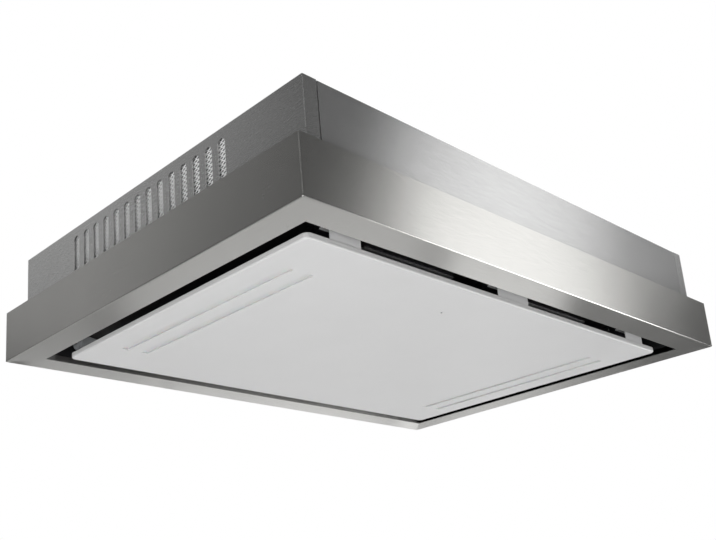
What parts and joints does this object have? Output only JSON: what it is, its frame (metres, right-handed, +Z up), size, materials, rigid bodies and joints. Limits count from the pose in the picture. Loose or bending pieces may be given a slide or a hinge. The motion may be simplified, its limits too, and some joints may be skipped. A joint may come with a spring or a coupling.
{
  "type": "ceiling range hood",
  "caption": "Ceiling range hood: a wide brushed-steel canopy under a vented box, a white drop-down panel with strip lights that draws air round its edge, filters and blower inside.",
  "frame": {"origin": "centre of the top plate's face that meets the ceiling", "axes": "+X along the long side, +Z up to the ceiling, -Y towards the edge of the panel that drops open"},
  "size_m": [1, 0.7, 0.179],
  "materials": {
    "stainless": "brushed along each side",
    "galvanised": "dull zinc coating",
    "zinc_plated": "bright zinc plating",
    "rubber": "matt",
    "black_plastic": "fine grain",
    "filter_mesh": "woven",
    "charcoal_foam": "open felt",
    "black_paint": "satin powder coat",
    "aluminium": "mill finish",
    "grey_plastic": "fine grain",
    "grey_paint": "satin powder coat",
    "magnet": "dark sintered blocks",
    "white_paint": "smooth satin coat",
    "white_plastic": "satin",
    "diffuser": "frosted",
    "lamp_board": "satin",
    "sensor_lens": "dark clear",
    "motor_paint": "satin"
  },
  "bodies": {
    "hood": {"canopy_front_rail": "stainless", "canopy_back_rail": "stainless", "canopy_left_rail": "stainless", "canopy_right_rail": "stainless", "box_front_panel": "stainless", "box_back_panel": "stainless", "box_left_panel": "stainless", "box_right_panel": "stainless", "top_plate": "galvanised", "deck_plate": "galvanised", "corner_posts": "galvanised", "mains_grommet": "rubber", "deck_fasteners": "zinc_plated", "left_vent_frame": "black_plastic", "left_vent_mesh": "filter_mesh", "left_charcoal_pad": "charcoal_foam", "right_vent_frame": "black_plastic", "right_vent_mesh": "filter_mesh", "right_charcoal_pad": "charcoal_foam", "pan_front_wall": "black_paint", "pan_back_wall": "black_paint", "pan_left_wall": "black_paint", "pan_right_wall": "black_paint", "pan_plate": "black_paint", "filter_seats": "black_paint", "pan_fasteners": "zinc_plated", "left_filter_frame": "aluminium", "left_filter_mesh": "filter_mesh", "right_filter_frame": "aluminium", "right_filter_mesh": "filter_mesh", "catch_magnets": "magnet", "hinge_lugs": "grey_paint", "hinge_pins": "zinc_plated", "hinge_clips": "zinc_plated", "blower_housing": "galvanised", "blower_cover": "galvanised", "inlet_cone": "galvanised", "finger_guard": "zinc_plated", "motor": "motor_paint", "blower_fasteners": "zinc_plated", "control_box": "black_plastic", "control_box_lid": "black_plastic", "light_driver": "white_plastic", "terminal_box": "black_plastic", "terminal_box_lid": "black_plastic"},
    "panel": {"panel_skin": "white_paint", "panel_backing": "white_plastic", "light_channels": "aluminium", "light_diffusers": "diffuser", "light_boards": "lamp_board", "remote_sensor": "sensor_lens", "panel_strikes": "white_paint", "hinge_arms": "grey_paint", "panel_screws": "zinc_plated"},
    "impeller": {"fan_wheel": "black_plastic", "motor_shaft": "zinc_plated", "wheel_nut": "zinc_plated"},
    "left_latch": {"left_filter_latch": "grey_plastic"},
    "right_latch": {"right_filter_latch": "grey_plastic"}
  },
  "joints": [
    {"name": "panel_hinge", "type": "hinge", "parent": "hood", "child": "panel", "pos_m": [0, 0.263, -0.154], "axis": [1, 0, 0], "range_deg": [0, 90]},
    {"name": "impeller_spin", "type": "hinge", "parent": "hood", "child": "impeller", "pos_m": [0.06, 0, -0.06], "axis": [0, 0, 1], "continuous": true},
    {"name": "left_filter_latch_slide", "type": "slide", "parent": "hood", "child": "left_latch", "axis": [0, 1, 0], "range_m": [0, 0.005], "stiffness_N_per_m": 400, "springref_m": -0.002},
    {"name": "right_filter_latch_slide", "type": "slide", "parent": "hood", "child": "right_latch", "axis": [0, 1, 0], "range_m": [0, 0.005], "stiffness_N_per_m": 400, "springref_m": -0.002}
  ]
}
